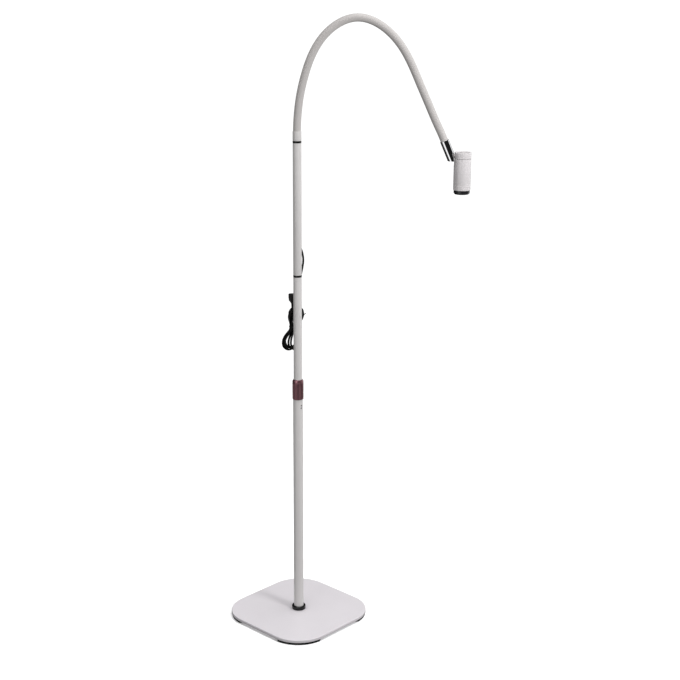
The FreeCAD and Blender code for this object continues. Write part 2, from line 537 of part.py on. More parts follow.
# flat face at the back that carries the blades, so the plug lies flat to a wall
PLUG_FACE_Y = 36.2
BLADE_Z = 852.0
seat = Part.makeBox(22.0, 8.2, 19.5, V(PLUG_X - 11.0, PLUG_FACE_Y - 8.2, 842.0))
seat = fillet_where(seat, 3.0, lambda e: e.BoundBox.YLength > 8)
plug = plug.fuse(seat)
parts["power_plug"] = one_solid(plug)
blades = []
for s in (-1, 1):
    b = Part.makeBox(1.5, 17.0, 6.3, V(PLUG_X + s * 6.35 - 0.75, PLUG_FACE_Y, BLADE_Z - 3.15))
    b = b.cut(Part.makeCylinder(1.6, 6, V(PLUG_X + s * 6.35 - 3, PLUG_FACE_Y + 13.5, BLADE_Z), V(1, 0, 0)))
    b = fillet_where(b, 1.2, lambda e: e.BoundBox.YMin > PLUG_FACE_Y + 16.9 and e.BoundBox.XLength > 1 and e.BoundBox.ZLength < 0.1)
    blades.append(b)
parts["plug_blades"] = Part.makeCompound(blades)

# ---------------------------------------------------------------------------
# one file for each piece
# ---------------------------------------------------------------------------
for name, shape in parts.items():
    solids = shape.Solids
    ok = shape.isValid() and all(s.isClosed() and s.Volume > 0 for s in solids)
    bb = shape.BoundBox
    print("%-24s solids %d %s vol %10.1f  x %.1f..%.1f  y %.1f..%.1f  z %.1f..%.1f" % (
        name, len(solids), "ok " if ok else "BAD", shape.Volume, bb.XMin, bb.XMax, bb.YMin, bb.YMax, bb.ZMin, bb.ZMax))
    shape.exportStep("parts/%s.step" % name)
print(len(parts), "nodes")
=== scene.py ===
import bpy
import bmesh
import json
import math
from mathutils import Matrix, Vector


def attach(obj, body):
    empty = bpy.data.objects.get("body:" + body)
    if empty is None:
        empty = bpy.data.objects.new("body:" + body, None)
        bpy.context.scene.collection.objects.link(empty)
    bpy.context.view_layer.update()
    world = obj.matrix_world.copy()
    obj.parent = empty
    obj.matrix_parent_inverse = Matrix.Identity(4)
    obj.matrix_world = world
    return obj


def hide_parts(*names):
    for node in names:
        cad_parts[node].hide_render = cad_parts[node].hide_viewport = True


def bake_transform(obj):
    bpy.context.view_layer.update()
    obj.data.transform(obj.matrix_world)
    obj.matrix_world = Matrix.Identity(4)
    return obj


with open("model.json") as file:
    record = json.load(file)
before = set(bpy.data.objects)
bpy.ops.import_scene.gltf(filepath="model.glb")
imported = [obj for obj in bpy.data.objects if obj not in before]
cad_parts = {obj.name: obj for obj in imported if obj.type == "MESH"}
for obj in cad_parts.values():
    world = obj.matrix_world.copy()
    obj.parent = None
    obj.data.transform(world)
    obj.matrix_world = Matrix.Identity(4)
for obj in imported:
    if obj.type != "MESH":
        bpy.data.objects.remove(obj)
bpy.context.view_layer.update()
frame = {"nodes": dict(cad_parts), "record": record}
nodes = frame["nodes"]
scene = bpy.context.scene
MM = 0.001


# ---------------------------------------------------------------------------
# camera
# ---------------------------------------------------------------------------
cam_data = bpy.data.cameras.new("camera")
cam_data.sensor_fit = "HORIZONTAL"
cam_data.sensor_width = 36.0
cam_data.lens = 70.17
cam_data.clip_start = 0.05
cam_data.clip_end = 500.0
cam = bpy.data.objects.new("camera", cam_data)
scene.collection.objects.link(cam)
turn = (Matrix.Rotation(math.radians(-1.86), 4, "Z") @ Matrix.Rotation(math.radians(90.0 - 15.75), 4, "X")
        @ Matrix.Rotation(math.radians(0.29), 4, "Z"))
cam.matrix_world = Matrix.Translation((0.0020, -3.18714, 1.64957)) @ turn
scene.camera = cam


# ---------------------------------------------------------------------------
# materials
# ---------------------------------------------------------------------------
def shader(name, color, rough, metallic=0.0, mottle=0.03, mottle_scale=25.0, fine_scale=900.0, rough_var=0.06,
           bump=0.0, bump_scale=1200.0, bump_detail=2.0, stretch=(1.0, 1.0, 1.0), tint=None, coat=0.0, coat_rough=0.1,
           ior=1.45, sheen=0.0, transmission=0.0, specular=0.5, aniso=0.0):
    """A Principled material whose colour, roughness and relief come from noise at the real surface's scale."""
    m = bpy.data.materials.new(name)
    m.use_nodes = True
    nt = m.node_tree
    n = nt.nodes
    n.clear()
    out = n.new("ShaderNodeOutputMaterial")
    b = n.new("ShaderNodeBsdfPrincipled")
    nt.links.new(b.outputs["BSDF"], out.inputs["Surface"])
    co = n.new("ShaderNodeTexCoord")
    mp = n.new("ShaderNodeMapping")
    mp.inputs["Scale"].default_value = stretch
    nt.links.new(co.outputs["Object"], mp.inputs["Vector"])
    big = n.new("ShaderNodeTexNoise")
    big.inputs["Scale"].default_value = mottle_scale
    big.inputs["Detail"].default_value = 3.0
    nt.links.new(mp.outputs["Vector"], big.inputs["Vector"])
    fine = n.new("ShaderNodeTexNoise")
    fine.inputs["Scale"].default_value = fine_scale
    fine.inputs["Detail"].default_value = 2.0
    nt.links.new(mp.outputs["Vector"], fine.inputs["Vector"])
    ramp = n.new("ShaderNodeValToRGB")
    lo = [max(0.0, c * (1 - mottle)) for c in color[:3]]
    hi = [min(1.0, c * (1 + mottle)) for c in (tint or color)[:3]]
    ramp.color_ramp.elements[0].position = 0.32
    ramp.color_ramp.elements[1].position = 0.68
    ramp.color_ramp.elements[0].color = (*lo, 1)
    ramp.color_ramp.elements[1].color = (*hi, 1)
    nt.links.new(big.outputs["Fac"], ramp.inputs["Fac"])
    nt.links.new(ramp.outputs["Color"], b.inputs["Base Color"])
    mr = n.new("ShaderNodeMapRange")
    mr.inputs["From Min"].default_value = 0.3
    mr.inputs["From Max"].default_value = 0.7
    mr.inputs["To Min"].default_value = max(0.02, rough - rough_var)
    mr.inputs["To Max"].default_value = min(1.0, rough + rough_var)
    nt.links.new(fine.outputs["Fac"], mr.inputs["Value"])
    nt.links.new(mr.outputs["Result"], b.inputs["Roughness"])
    b.inputs["Metallic"].default_value = metallic
    b.inputs["IOR"].default_value = ior
    b.inputs["Coat Weight"].default_value = coat
    b.inputs["Coat Roughness"].default_value = coat_rough
    b.inputs["Sheen Weight"].default_value = sheen
    b.inputs["Transmission Weight"].default_value = transmission
    b.inputs["Specular IOR Level"].default_value = specular
    b.inputs["Anisotropic"].default_value = aniso
    if bump > 0:
        tex = n.new("ShaderNodeTexNoise")
        tex.inputs["Scale"].default_value = bump_scale
        tex.inputs["Detail"].default_value = bump_detail
        nt.links.new(mp.outputs["Vector"], tex.inputs["Vector"])
        bp = n.new("ShaderNodeBump")
        bp.inputs["Strength"].default_value = 1.0
        bp.inputs["Distance"].default_value = bump
        nt.links.new(tex.outputs["Fac"], bp.inputs["Height"])
        nt.links.new(bp.outputs["Normal"], b.inputs["Normal"])
    m["bsdf"] = b.name
    return m


# fine orange peel of powder coat, about 1.5 mm across and a few microns deep
powder = dict(mottle=0.012, mottle_scale=14.0, fine_scale=700.0, rough_var=0.05, bump=0.000012, bump_scale=620.0, bump_detail=1.0)
M = {}
M["white_paint"] = shader("white_powder_coat", (0.57, 0.555, 0.55), 0.42, coat=0.12, coat_rough=0.3, **powder)
M["base_paint"] = shader("base_powder_coat", (0.585, 0.56, 0.585), 0.46, coat=0.08, coat_rough=0.3, **powder)
M["white_sleeve"] = shader("white_soft_sleeve", (0.465, 0.445, 0.436), 0.5, mottle=0.012, mottle_scale=30, fine_scale=400, rough_var=0.03, specular=0.3)
M["collar_finish"] = shader("anodised_collar", (0.20, 0.095, 0.108), 0.34, metallic=0.7, mottle=0.16, mottle_scale=420, fine_scale=2200,
                            stretch=(1.0, 1.0, 0.03), rough_var=0.1, bump=0.000008, bump_scale=1800, tint=(0.24, 0.115, 0.13))
M["black_gloss"] = shader("gloss_black_ring", (0.004, 0.004, 0.0045), 0.12, mottle=0.15, fine_scale=300, rough_var=0.04, coat=0.15, specular=0.35,
                          coat_rough=0.06, bump=0.000004, bump_scale=250)
M["black_plastic"] = shader("black_ring_plastic", (0.008, 0.0075, 0.0075), 0.38, mottle=0.2, mottle_scale=200, fine_scale=2500,
                            bump=0.000010, bump_scale=2600)
M["pad_rubber"] = shader("pad_rubber", (0.004, 0.004, 0.0045), 0.72, specular=0.2, mottle=0.25, mottle_scale=160, fine_scale=1500, bump=0.00004,
                         bump_scale=1500, bump_detail=4)
M["zinc_steel"] = shader("zinc_plated_steel", (0.52, 0.52, 0.50), 0.34, metallic=1.0, mottle=0.12, mottle_scale=300, fine_scale=1600,
                         rough_var=0.12, bump=0.000012, bump_scale=2200, tint=(0.56, 0.55, 0.49))
M["spring_steel"] = shader("spring_steel", (0.33, 0.33, 0.34), 0.3, metallic=1.0, mottle=0.15, mottle_scale=180, fine_scale=1800,
                           rough_var=0.1, bump=0.00001, bump_scale=2500)
M["nylon"] = shader("natural_nylon", (0.72, 0.70, 0.63), 0.45, mottle=0.05, mottle_scale=120, fine_scale=900, bump=0.00001,
                    bump_scale=1500, specular=0.45)
M["polished_chrome"] = shader("polished_chrome", (0.72, 0.72, 0.73), 0.045, metallic=1.0, mottle=0.02, mottle_scale=60, fine_scale=160,
                              rough_var=0.015)
M["head_white"] = shader("head_satin_finish", (0.60, 0.575, 0.58), 0.36, mottle=0.015, mottle_scale=40, fine_scale=900,
                         rough_var=0.05, bump=0.000004, bump_scale=1100, coat=0.1, coat_rough=0.25, tint=(0.605, 0.58, 0.59))
M["button_white"] = shader("button_plastic", (0.52, 0.50, 0.50), 0.3, mottle=0.02, fine_scale=1200, bump=0.000008, bump_scale=1800)
M["bezel_dark"] = shader("dark_bezel", (0.016, 0.016, 0.018), 0.3, mottle=0.15, mottle_scale=150, fine_scale=1500, bump=0.000010,
                         bump_scale=1700)
M["lens_glass"] = shader("lens_glass", (0.93, 0.95, 0.96), 0.06, mottle=0.01, fine_scale=500, rough_var=0.03, transmission=1.0,
                         ior=1.49, bump=0.000004, bump_scale=700)
M["reflector_white"] = shader("light_guide", (0.86, 0.86, 0.85), 0.16, mottle=0.03, fine_scale=800, bump=0.000008, bump_scale=900)
M["led_yellow"] = shader("led_phosphor", (0.80, 0.58, 0.10), 0.42, mottle=0.08, mottle_scale=900, fine_scale=3000, bump=0.00002,
                         bump_scale=3500)
M["board_white"] = shader("led_board_mask", (0.80, 0.80, 0.79), 0.35, mottle=0.05, mottle_scale=300, fine_scale=1500, bump=0.00001,
                          bump_scale=900)
M["bare_aluminium"] = shader("bare_aluminium", (0.62, 0.63, 0.64), 0.32, metallic=1.0, mottle=0.08, mottle_scale=200, fine_scale=1600,
                             rough_var=0.1, bump=0.000014, bump_scale=2000, stretch=(1, 1, 0.15))
M["board_green"] = shader("circuit_board_mask", (0.03, 0.17, 0.06), 0.35, mottle=0.2, mottle_scale=260, fine_scale=1400, bump=0.000015,
                          bump_scale=800, coat=0.3)
M["cord_black"] = shader("lead_pvc", (0.004, 0.0038, 0.0038), 0.42, specular=0.2, mottle=0.2, mottle_scale=200, fine_scale=1800, rough_var=0.08,
                         bump=0.000012, bump_scale=1500)
M["black_rubber"] = shader("boot_rubber", (0.014, 0.0135, 0.0135), 0.55, mottle=0.2, mottle_scale=180, fine_scale=1700, bump=0.00002,
                           bump_scale=1700)
M["tie_black"] = shader("tie_pvc", (0.006, 0.006, 0.006), 0.45, specular=0.2, mottle=0.2, mottle_scale=300, fine_scale=2000, bump=0.000015,
                        bump_scale=2200)
M["plug_black"] = shader("plug_pvc", (0.012, 0.0115, 0.012), 0.55, specular=0.25, mottle=0.2, mottle_scale=150, fine_scale=1700, bump=0.00003,
                         bump_scale=2200, bump_detail=3)
M["blade_metal"] = shader("blade_nickel", (0.62, 0.60, 0.54), 0.22, metallic=1.0, mottle=0.1, mottle_scale=300, fine_scale=2000,
                          rough_var=0.08, bump=0.000006, bump_scale=2500, stretch=(1, 1, 0.2))

# every construction node gets its own finish
for entry in frame["record"]["subparts"]:
    slot_name = entry["material_slot"]
    if slot_name in M:
        ob = nodes[entry["node"]]
        ob.data.materials.clear()
        ob.data.materials.append(M[slot_name])


# ---------------------------------------------------------------------------
# mesh helpers
# ---------------------------------------------------------------------------
def finish_mesh(bm, name, mat, sharp=32.0):
    bmesh.ops.recalc_face_normals(bm, faces=bm.faces)
    me = bpy.data.meshes.new(name)
    bm.to_mesh(me)
    bm.free()
    for p in me.polygons:
        p.use_smooth = True
    me.set_sharp_from_angle(angle=math.radians(sharp))
    me.materials.append(mat)
    ob = bpy.data.objects.new(name, me)
    scene.collection.objects.link(ob)
    return ob


def place(ob, body, slot, *replaced):
    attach(ob, body)
    if replaced:
        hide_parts(*replaced)
    return ob


def soften(prof, closed=True, n=4):
    """Rounds the corners of an (r, z, radius) outline; a point with no radius stays sharp."""
    out = []
    count = len(prof)
    for i, q in enumerate(prof):
        rad = q[2] if len(q) > 2 else 0.0
        if rad <= 0 or (not closed and i in (0, count - 1)):
            out.append((q[0], q[1]))
            continue
        p = Vector((q[0], q[1]))
        a = Vector(prof[i - 1][:2]) - p
        b = Vector(prof[(i + 1) % count][:2]) - p
        la, lb = a.length, b.length
        a.normalize()
        b.normalize()
        half = a.angle(b) / 2
        cut = min(rad / math.tan(half), la * 0.49, lb * 0.49)
        rr = cut * math.tan(half)
        centre = p + (a + b).normalized() * (rr / math.sin(half))
        s, e = p + a * cut - centre, p + b * cut - centre
        total = s.angle_signed(e)
        for k in range(n + 1):
            v = s.copy()
            v.rotate(Matrix.Rotation(-total * k / n, 2))
            out.append((centre.x + v.x, centre.y + v.y))
    return out


def lathe_bm(prof, segs=96, shape=None):
    """Turns a closed (r, z) outline, in mm, about Z. shape(r, z, angle) may change the radius."""
    bm = bmesh.new()
    rows = []
    for r, z in prof:
        if r < 1e-6:
            rows.append([bm.verts.new((0, 0, z * MM))])
            continue
        row = []
        for k in range(segs):
            a = 2 * math.pi * k / segs
            rr = shape(r, z, a) if shape else r
            row.append(bm.verts.new((rr * MM * math.cos(a), rr * MM * math.sin(a), z * MM)))
        rows.append(row)
    for i in range(len(rows)):
        A, B = rows[i], rows[(i + 1) % len(rows)]
        if len(A) == 1 and len(B) == 1:
            continue
        for k in range(segs):
            k2 = (k + 1) % segs
            if len(A) == 1:
                bm.faces.new((A[0], B[k], B[k2]))
            elif len(B) == 1:
                bm.faces.new((A[k], B[0], A[k2]))
            else:
                bm.faces.new((A[k], B[k], B[k2], A[k2]))
    return bm


def lathe(name, prof, mat, body, slot, *replaced, x=0.0, segs=96, sharp=32.0, shape=None, turnit=None):
    bm = lathe_bm(soften(prof), segs, shape)
    if turnit is not None:
        bmesh.ops.transform(bm, matrix=turnit, verts=bm.verts)
    if x:
        bmesh.ops.translate(bm, vec=(x * MM, 0, 0), verts=bm.verts)
    ob = finish_mesh(bm, name, mat, sharp)
    return place(ob, body, slot, *replaced)


def loft(name, rings, mat, cap0=True, cap1=True, sharp=32.0):
    """rings: lists of points (metres) with equal counts."""
    bm = bmesh.new()
    V = [[bm.verts.new(p) for p in ring] for ring in rings]
    n = len(V[0])
    for A, B in zip(V[:-1], V[1:]):
        for k in range(n):
            k2 = (k + 1) % n
            bm.faces.new((A[k], B[k], B[k2], A[k2]))
    if cap0:
        bm.faces.new(V[0])
    if cap1:
        bm.faces.new(V[-1])
    return finish_mesh(bm, name, mat, sharp)


# ---------------------------------------------------------------------------
# base plate and the ring at the foot of the pole
# ---------------------------------------------------------------------------
def base_outline(inset, z, n=28):
    side, r = 150.0 - inset, 85.0 - inset
    c = side - r
    pts = []
    for q in range(4):
        cx, cy = [(c, c), (-c, c), (-c, -c), (c, -c)][q]
        for k in range(n + 1):
            a = math.radians(90.0 * q + 90.0 * k / n)
            px, py = cx + r * math.cos(a), cy + r * math.sin(a)
            s = math.sqrt(0.5)
            pts.append(Vector(((px - py) * s * MM, (px + py) * s * MM, z * MM)))
    return pts


def base_rings():
    rings = [base_outline(7.0, 6.0), base_outline(1.6, 6.0)]
    for k in range(4):
        a = math.radians(90.0 * k / 3)
        rings.append(base_outline(0.8 - 0.8 * math.sin(a), 6.8 - 0.8 * math.cos(a)))
    for k in range(9):
        a = math.radians(90.0 * k / 8)
        rings.append(base_outline(2.2 - 2.2 * math.cos(a), 11.8 + 2.2 * math.sin(a)))
    for d in (2.6, 3.4, 6.0):
        rings.append(base_outline(d, 14.0))
    return rings


def ring_strip(bm, A, B):
    n = len(A)
    for k in range(n):
        k2 = (k + 1) % n
        bm.faces.new((A[k], B[k], B[k2], A[k2]))


bm = bmesh.new()
R = [[bm.verts.new(p) for p in ring] for ring in base_rings()]
for A, B in zip(R[:-1], R[1:]):
    ring_strip(bm, A, B)
nb = len(R[0])


def hole_ring(r, z):
    out = []
    for k in range(nb):
        p = R[0][k].co
        a = math.atan2(p.y, p.x)
        out.append(bm.verts.new((r * MM * math.cos(a), r * MM * math.sin(a), z * MM)))
    return out


holes = [hole_ring(30.0, 14.0), hole_ring(4.7, 14.0), hole_ring(4.3, 13.6), hole_ring(4.3, 6.4), hole_ring(4.7, 6.0), hole_ring(30.0, 6.0)]
ring_strip(bm, R[-1], holes[0])
for A, B in zip(holes[:-1], holes[1:]):
    ring_strip(bm, A, B)
ring_strip(bm, holes[-1], R[0])
place(finish_mesh(bm, "base_plate_finished", M["base_paint"], 50.0), "stand", "white_paint", "base_plate")

foot = soften([(12.55, 14.0), (18.0, 14.0, 1.4), (18.0, 24.0, 4.8), (12.95, 24.0, 0.4), (12.55, 23.5)], n=9)
place(finish_mesh(lathe_bm(foot, 128), "foot_ring", M["black_gloss"], 50), "stand", "black_gloss", "pole_flange")

# ---------------------------------------------------------------------------
# pole tubes, joint rings, ferrule
# ---------------------------------------------------------------------------
marks = M["white_paint"].copy()
marks.name = "white_powder_coat_marked"


def add_marks(mat, spots, color, size):
    """Plain round printed dots, as a distance from points on the tube."""
    nt = mat.node_tree
    b = nt.nodes[mat["bsdf"]]
    old = b.inputs["Base Color"].links[0].from_socket
    co = [q for q in nt.nodes if q.bl_idname == "ShaderNodeTexCoord"][0]
    last = old
    for s in spots:
        d = nt.nodes.new("ShaderNodeVectorMath")
        d.operation = "DISTANCE"
        d.inputs[1].default_value = s
        nt.links.new(co.outputs["Object"], d.inputs[0])
        mr = nt.nodes.new("ShaderNodeMapRange")
        mr.inputs["From Min"].default_value = size * 0.9
        mr.inputs["From Max"].default_value = size * 1.1
        mr.inputs["To Min"].default_value = 1.0
        mr.inputs["To Max"].default_value = 0.0
        nt.links.new(d.outputs["Value"], mr.inputs["Value"])
        mix = nt.nodes.new("ShaderNodeMix")
        mix.data_type = "RGBA"
        nt.links.new(mr.outputs["Result"], mix.inputs[0])
        nt.links.new(last, mix.inputs[6])
        mix.inputs[7].default_value = (*color, 1)
        last = mix.outputs[2]
    nt.links.new(last, b.inputs["Base Color"])


dot_a = math.asin(8.6 / 12.5)
add_marks(marks, [(8.6 * MM, -12.5 * MM * math.cos(dot_a), 0.5807), (8.2 * MM, -12.5 * MM * math.cos(dot_a) * 1.02, 0.5742)],
          (0.035, 0.03, 0.035), 0.0021)
lathe("lower_pole_tube", [(11.3, 14.0), (12.5, 14.0), (12.5, 614.4, 0.3), (11.3, 614.4, 0.3)], marks, "stand", "white_paint", "lower_tube",
      segs=128)
lathe("middle_pole_tube", [(9.5, 352.0), (10.5, 352.0, 0.25), (10.5, 912.2, 0.35), (9.5, 912.2, 0.2)], M["white_paint"], "upper_pole",
      "white_paint", "middle_tube", segs=128)
lathe("upper_pole_tube", [(9.5, 917.3), (10.5, 917.3, 0.35), (10.5, 1241.5, 0.35), (9.5, 1241.5, 0.2)], M["white_paint"], "upper_pole",
      "white_paint", "top_tube", segs=128)
for nm, z0, z1, nd in (("lower_joint_ring", 912.2, 917.3, "joint_ring_lower"), ("upper_joint_ring", 1241.5, 1246.6, "joint_ring_upper")):
    zm = (z0 + z1) / 2
    lathe(nm, [(7.0, z0), (10.7, z0, 0.45), (10.7, zm - 0.5, 0.15), (10.4, zm - 0.25), (10.4, zm + 0.25), (10.7, zm + 0.5, 0.15),
               (10.7, z1, 0.45), (7.0, z1)], M["black_plastic"], "upper_pole", "black_plastic", nd, segs=96)
lathe("gooseneck_foot_ferrule", [
    (3.2, 1222.0), (6.2, 1222.0, 0.3), (6.9, 1223.0, 0.3), (6.9, 1246.6), (10.6, 1246.6, 0.5), (10.6, 1269.5, 0.7), (9.53, 1269.5, 0.15),
    (9.53, 1253.0), (3.2, 1253.0)], M["white_paint"], "upper_pole", "white_paint", "gooseneck_ferrule", segs=96)


# twist collar, with 36 fine flutes
def collar_shape(r, z, a):
    if r < 13.5 or z < 2.0 or z > 42.6:
        return r
    fade = min(1.0, (z - 2.0) / 1.6, (42.6 - z) / 1.2)
    t = (a * 36 / (2 * math.pi)) % 1.0
    d = abs(t - 0.5) * 2.0
    return r - 0.62 * fade * max(0.0, 1.0 - (d / 0.62) ** 2)


# heights above the collar's foot
prof = [(12.6, 0.0), (13.3, 0.0, 0.25), (14.0, 0.7, 0.4), (14.0, 2.0), (14.0, 2.8), (14.0, 3.6)]
prof += [(14.0, 3.6 + 37.8 * k / 6) for k in range(1, 7)]
prof += [(14.0, 42.0), (14.0, 42.6), (14.0, 43.4, 0.2), (13.3, 43.9, 0.2), (13.3, 45.0, 0.2), (14.0, 45.5, 0.25), (14.0, 47.2, 0.5),
         (11.7, 51.4, 0.6), (11.2, 52.0, 0.3), (10.85, 52.0), (10.85, 48.0), (11.9, 47.0), (11.9, 44.6), (12.72, 23.0), (12.6, 22.0)]
lathe("twist_collar", prof, M["collar_finish"], "collar", "collar_finish", "lock_collar", segs=432, sharp=40, shape=collar_shape,
      turnit=Matrix.Translation((0, 0, 0.5964)))

# ---------------------------------------------------------------------------
# gooseneck: one smooth skin and one wound core, each length spanning one joint, from one mid point to the next
# ---------------------------------------------------------------------------
JOINTS = [(1.60, 1305.50), (17.02, 1394.54), (47.18, 1469.38), (93.13, 1517.72), (145.03, 1534.29), (199.01, 1516.14),
          (249.50, 1465.74), (290.56, 1385.71), (334.24, 1289.23)]
MIDS = [(7.10, 1350.35), (29.43, 1433.05), (67.42, 1496.17), (117.89, 1529.84), (173.26, 1529.00), (226.73, 1493.43),
        (271.86, 1426.68), (312.39, 1337.46), (344.43, 1268.26)]
FOOT = (0.40, 1287.52)
END = (354.0, 1247.0)


def gooseneck_line():
    """A smooth line through the joints and the points between them, with its tangents; and where the mid points fall on it."""
    P = [(0.0, 1253.2), (0.0, 1262.0), (0.0, 1269.5), FOOT]
    marks_at = [3]
    for j, m in zip(JOINTS, MIDS):
        P += [j, m]
        marks_at.append(len(P) - 1)
    P += [END, (END[0] + 0.3970 * 8.0, END[1] - 0.9178 * 8.0)]
    P = [Vector((x, 0.0, z)) for x, z in P]
    t = [0.0]
    for a, b in zip(P[:-1], P[1:]):
        t.append(t[-1] + (b - a).length)
    # natural cubic spline in x and z
    n = len(P)

    def second(vals):
        A = [[0.0] * 3 for _ in range(n)]
        rhs = [0.0] * n
        A[0][1] = A[-1][1] = 1.0
        for i in range(1, n - 1):
            h0, h1 = t[i] - t[i - 1], t[i + 1] - t[i]
            A[i] = [h0, 2 * (h0 + h1), h1]
            rhs[i] = 6 * ((vals[i + 1] - vals[i]) / h1 - (vals[i] - vals[i - 1]) / h0)
        for i in range(1, n):
            w = A[i][0] / A[i - 1][1]
            A[i][1] -= w * A[i - 1][2]
            rhs[i] -= w * rhs[i - 1]
        out = [0.0] * n
        out[-1] = rhs[-1] / A[-1][1]
        for i in range(n - 2, -1, -1):
            out[i] = (rhs[i] - A[i][2] * out[i + 1]) / A[i][1]
        return out

    xs, zs = [p.x for p in P], [p.z for p in P]
    mx, mz = second(xs), second(zs)

    def at(s):
        i = max(0, min(n - 2, next((k for k in range(n - 1) if s <= t[k + 1]), n - 2)))
        h = t[i + 1] - t[i]
        a, b = (t[i + 1] - s) / h, (s - t[i]) / h
        pos, tan = [], []
        for v, m in ((xs, mx), (zs, mz)):
            pos.append(a * v[i] + b * v[i + 1] + ((a ** 3 - a) * m[i] + (b ** 3 - b) * m[i + 1]) * h * h / 6)
            tan.append((v[i + 1] - v[i]) / h + (-(3 * a * a - 1) * m[i] + (3 * b * b - 1) * m[i + 1]) * h / 6)
        return Vector((pos[0], 0, pos[1])), Vector((tan[0], 0, tan[1])).normalized()

    return at, [t[k] for k in marks_at], t[n - 2], t[0]


goose_at, mid_s, end_s, start_s = gooseneck_line()


def tube_ring(s, r, n):
    p, t = goose_at(s)
    side = Vector((0, 1, 0))
    up = t.cross(side).normalized()
    return [(p + (side * math.cos(2 * math.pi * k / n) + up * math.sin(2 * math.pi * k / n)) * r) * MM for k in range(n)]


def stations(a, b, step):
    n = max(2, int(round((b - a) / step)))
    return [a + (b - a) * k / n for k in range(n + 1)]


for i in range(9):
    s0 = start_s if i == 0 else mid_s[i]
    s1 = end_s if i == 8 else mid_s[i + 1]
    p0 = goose_at(mid_s[i])[0] * MM
    p1 = goose_at(mid_s[i + 1])[0] * MM
    # skin: outer and inner wall, joined at both ends
    line = stations(s0, s1, 1.9)
    rings = [tube_ring(s, 9.45, 64) for s in line]
    rings += [tube_ring(s, 6.9, 64) for s in reversed(line)]
    bm = bmesh.new()
    V = [[bm.verts.new(q) for q in ring] for ring in rings]
    for A, B in zip(V, V[1:] + V[:1]):
        ring_strip(bm, A, B)
    skin = finish_mesh(bm, "gooseneck_skin_%02d" % (i + 1), M["white_sleeve"], 40)
    names = ["gooseneck_sleeve_%02d" % (i + 1)] + (["gooseneck_sleeve_root"] if i == 0 else [])
    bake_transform(skin)
    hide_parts(*names)
    # core: round-edged turns, 3 mm apart
    rings = []
    fine = stations(s0, min(s1, end_s), 0.75)
    for s in fine:
        w = math.cos(2 * math.pi * s / 3.0)
        rings.append(tube_ring(s, 6.2 + 0.32 * w, 28))
    inner = [tube_ring(s, 3.4, 28) for s in reversed(stations(s0, min(s1, end_s), 4.0))]
    bm = bmesh.new()
    V = [[bm.verts.new(q) for q in ring] for ring in rings + inner]
    for A, B in zip(V, V[1:] + V[:1]):
        ring_strip(bm, A, B)
    core = finish_mesh(bm, "gooseneck_winding_%02d" % (i + 1), M["spring_steel"], 60)
    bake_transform(core)
    names = ["gooseneck_core_%02d" % (i + 1)] + (["gooseneck_core_root"] if i == 0 else [])
    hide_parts(*names)

# ---------------------------------------------------------------------------
# polished connector
# ---------------------------------------------------------------------------
con_top = Vector((354.0, 0, 1247.0)) * MM
con_dir = Vector((0.39704, 0.0, -0.91780)).normalized()
bm = bmesh.new()
NC = 160
side = Vector((0, 1, 0))
up = con_dir.cross(side).normalized()
rows = []
for d in (0.0, 90.0):
    rows.append([bm.verts.new(con_top + con_dir * d * MM + (side * math.cos(2 * math.pi * k / NC) + up * math.sin(2 * math.pi * k / NC)) * 10.8 * MM)
                 for k in range(NC)])
ring_strip(bm, rows[0], rows[1])
bm.faces.new(rows[0])
bm.faces.new(rows[1])
for co_, no_ in (((0.3777, 0, 0), (1, 0, 0)), ((0, 0, 1.198), (0, 0, -1))):
    cut = bmesh.ops.bisect_plane(bm, geom=bm.verts[:] + bm.edges[:] + bm.faces[:], plane_co=co_, plane_no=no_, clear_outer=True)
    edges = [g for g in cut["geom_cut"] if isinstance(g, bmesh.types.BMEdge)]
    bmesh.ops.contextual_create(bm, geom=edges)
bmesh.ops.remove_doubles(bm, verts=bm.verts, dist=1e-7)
bm.normal_update()
rim = [e for e in bm.edges if len(e.link_faces) == 2 and e.link_faces[0].normal.angle(e.link_faces[1].normal, 0) > math.radians(12)]
bmesh.ops.bevel(bm, geom=rim, offset=0.7 * MM, segments=4, profile=0.5, affect="EDGES", clamp_overlap=True)
con = finish_mesh(bm, "polished_connector", M["polished_chrome"], 25)
place(con, "link_09", "polished_chrome", "chrome_connector")

# ---------------------------------------------------------------------------
# lamp head
# ---------------------------------------------------------------------------
HX, HR, BORE = 399.4, 21.0, 17.9
FLAT = 380.7                            # flat on the head, towards the connector


